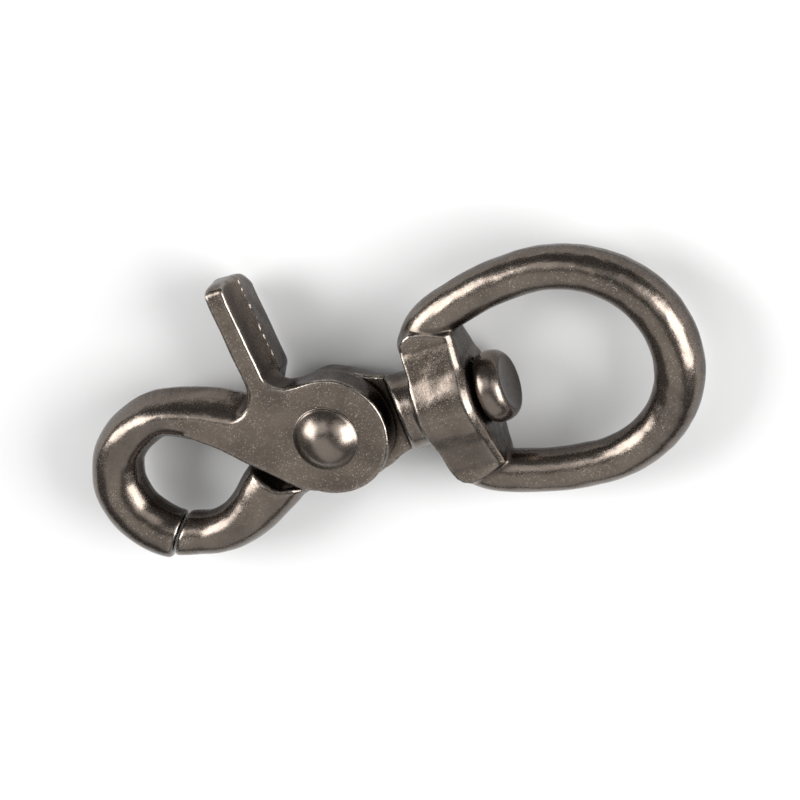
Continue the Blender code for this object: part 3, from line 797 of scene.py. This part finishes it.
def spring_steel():
    """Bright drawn wire with faint lengthwise variation."""
    shader = Shader("spring_wire")
    shade = shader.noise(1500.0, 2.0)
    shader.drive("Base Color", shader.mix(shade, WIRE_BRIGHT, WIRE_DARK))
    shader.drive("Roughness", shader.span(shade, 0.3, 0.7, 0.22, 0.36))
    shader.surface.inputs["Metallic"].default_value = 1.0
    return shader.material


def floor_paint():
    """Matt pale paint with a barely uneven tone."""
    shader = Shader("pale_floor")
    shade = shader.noise(40.0, 3.0)
    shader.drive("Base Color", shader.mix(shade, FLOOR_TONE, FLOOR_TONE_DARK))
    shader.surface.inputs["Roughness"].default_value = 0.9
    shader.surface.inputs["Specular IOR Level"].default_value = 0.1
    return shader.material


# ---------------------------------------------------------------- studio

def look_at(obj, place, target, up):
    """Put an object at a place with its -Z towards the target."""
    back = (Vector(place) - Vector(target)).normalized()
    right = Vector(up).cross(back).normalized()
    obj.matrix_world = Matrix((
        (right.x, back.cross(right).x, back.x, place[0]),
        (right.y, back.cross(right).y, back.y, place[1]),
        (right.z, back.cross(right).z, back.z, place[2]),
        (0, 0, 0, 1)))


def make_camera():
    """Long lens, from above the eye's end, tilted so that the hook runs down to the left."""
    towards = Vector(CAMERA_SIDE).normalized()
    target = Vector(RIVET) + Vector(CAMERA_AIM) * MM
    data = bpy.data.cameras.new("camera")
    data.sensor_width = 36.0
    data.lens = CAMERA_LENS
    data.clip_start = 0.05
    data.clip_end = 20.0
    camera = bpy.data.objects.new("camera", data)
    bpy.context.scene.collection.objects.link(camera)
    look_at(camera, target + towards * CAMERA_DISTANCE, target, CAMERA_UP)
    bpy.context.scene.camera = camera


def soft_box(name, direction, size, radiance, up=(0, 0, 1)):
    """A rectangular light that faces the hook from one direction."""
    data = bpy.data.lights.new(name, "AREA")
    data.shape = "RECTANGLE"
    data.size, data.size_y = size
    data.energy = radiance * math.pi * size[0] * size[1]
    light = bpy.data.objects.new(name, data)
    bpy.context.scene.collection.objects.link(light)
    look_at(light, Vector(direction).normalized() * LIGHT_DISTANCE, (0, 0, 0), up)


def make_floor():
    """Plain floor, just under the hook."""
    corners = [(-FLOOR_HALF, -FLOOR_HALF, 0), (FLOOR_HALF, -FLOOR_HALF, 0),
               (FLOOR_HALF, FLOOR_HALF, 0), (-FLOOR_HALF, FLOOR_HALF, 0)]
    mesh = bpy.data.meshes.new("floor")
    mesh.from_pydata(corners, [], [(0, 1, 2, 3)])
    floor = bpy.data.objects.new("floor", mesh)
    bpy.context.scene.collection.objects.link(floor)
    floor.location.z = -FLOOR_DROP
    floor.data.materials.append(floor_paint())


def make_lights():
    """Two strong soft boxes for the highlights, three weak ones from above, and a dim room."""
    world = bpy.data.worlds.new("studio")
    bpy.context.scene.world = world
    world.use_nodes = True
    background = world.node_tree.nodes["Background"]
    background.inputs["Color"].default_value = (1.0, 1.0, 1.0, 1)
    background.inputs["Strength"].default_value = ROOM_LIGHT
    soft_box("key", (-0.66, 0.44, 0.61), (0.36, 0.36), 9.0)
    soft_box("crest", (-0.06, 0.52, 0.85), (0.28, 0.30), 1.5)
    soft_box("side", (0.84, -0.22, 0.50), (0.48, 0.38), 9.5)
    soft_box("fill", (0.62, 0.20, 0.76), (0.40, 0.34), 1.4)
    soft_box("overhead", (-0.30, -0.58, 0.76), (0.60, 0.95), 0.78, (0, 1, 0))
    bpy.context.scene.view_settings.view_transform = "Standard"


# ---------------------------------------------------------------- assembly

def place_piece(obj, material, body, node):
    """Give a piece its material, hang it on the body it moves with, and hide the CAD node it stands for."""
    obj.data.materials.append(material)
    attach(obj, body)
    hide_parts(node)


def main():
    cast = cast_nickel()
    domed = polished_nickel("polished_nickel_rivet", POLISHED)
    # the pin's flat face gets painted shade
    headed = polished_nickel("polished_nickel_pin", PIN_FACE_SHADE)
    place_piece(casting("fixed_jaw_cast", fixed_jaw, "fixed_jaw", jaw_height), cast, "fixed_jaw_body",
                "fixed_jaw")
    place_piece(casting("trigger_jaw_cast", trigger_jaw, "trigger_jaw", jaw_height), cast, "trigger_body",
                "trigger_jaw")
    place_piece(casting("eye_cast", swivel_eye, "swivel_eye", eye_height), cast, "eye_body", "swivel_eye")
    place_piece(turned("rivet_domed", rivet_profile(), "Z"), domed, "trigger_body", "pivot_rivet")
    place_piece(turned("pin_headed", pin_profile(), "X", SWIVEL_Y), headed, "fixed_jaw_body", "swivel_pin")
    place_piece(make_spring(), spring_steel(), "trigger_body", "torsion_spring")
    make_floor()
    make_lights()
    make_camera()


main()
bpy.context.view_layer.update()
